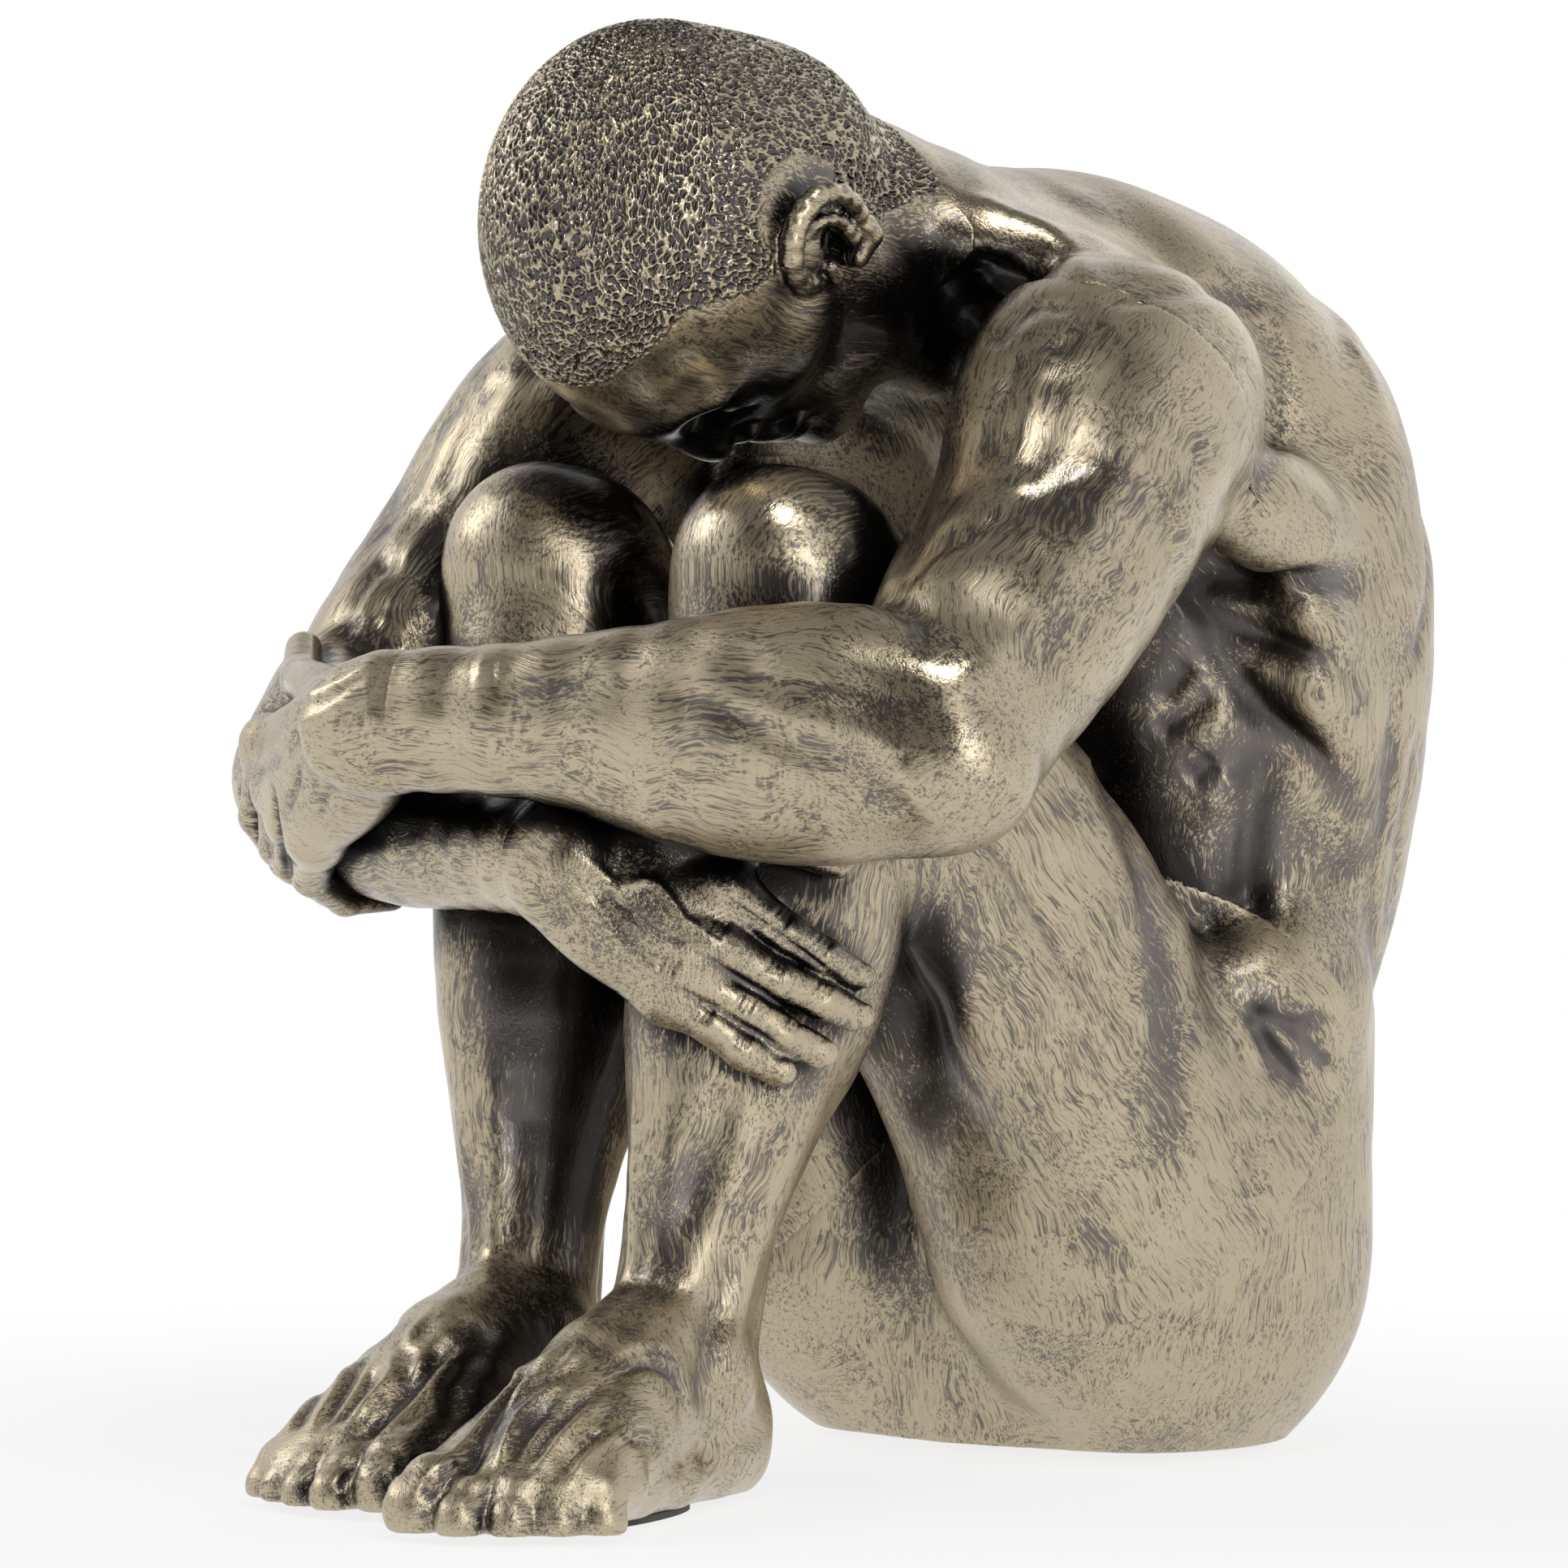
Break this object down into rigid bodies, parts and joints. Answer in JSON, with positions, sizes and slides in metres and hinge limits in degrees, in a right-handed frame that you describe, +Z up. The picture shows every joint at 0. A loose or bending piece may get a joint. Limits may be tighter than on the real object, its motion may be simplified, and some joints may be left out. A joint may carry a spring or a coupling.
{
  "type": "seated nude figure statue",
  "caption": "Free-standing bronze-finish statue of a seated nude man with drawn-up knees, arms folded round the shins and head bowed on the knees, resting on flat felt pads.",
  "frame": {"origin": "on the support plane, under the middle of the figure's bounding box", "axes": "+Z up; -Y the way the knees and feet point; +X the figure's left"},
  "size_m": [0.1652, 0.24, 0.2252],
  "materials": {
    "bronze": "antique hand-rubbed bronze, gold highlights over dark brown, satin to glossy",
    "dowel_steel": "plain drawn",
    "bare_resin": "cast, unpainted",
    "felt": "pressed felt"
  },
  "bodies": {
    "root": {"torso_casting": "bronze", "head_casting": "bronze", "left_leg_casting": "bronze", "right_leg_casting": "bronze", "left_arm_casting": "bronze", "right_arm_casting": "bronze", "left_hand_casting": "bronze", "right_hand_casting": "bronze", "neck_dowel": "dowel_steel", "left_hip_dowel": "dowel_steel", "right_hip_dowel": "dowel_steel", "left_shoulder_dowel": "dowel_steel", "right_shoulder_dowel": "dowel_steel", "left_wrist_dowel": "dowel_steel", "right_wrist_dowel": "dowel_steel", "seat_plug": "bare_resin", "seat_felt_pad": "felt", "left_foot_felt_pad": "felt", "right_foot_felt_pad": "felt"}
  },
  "joints": []
}
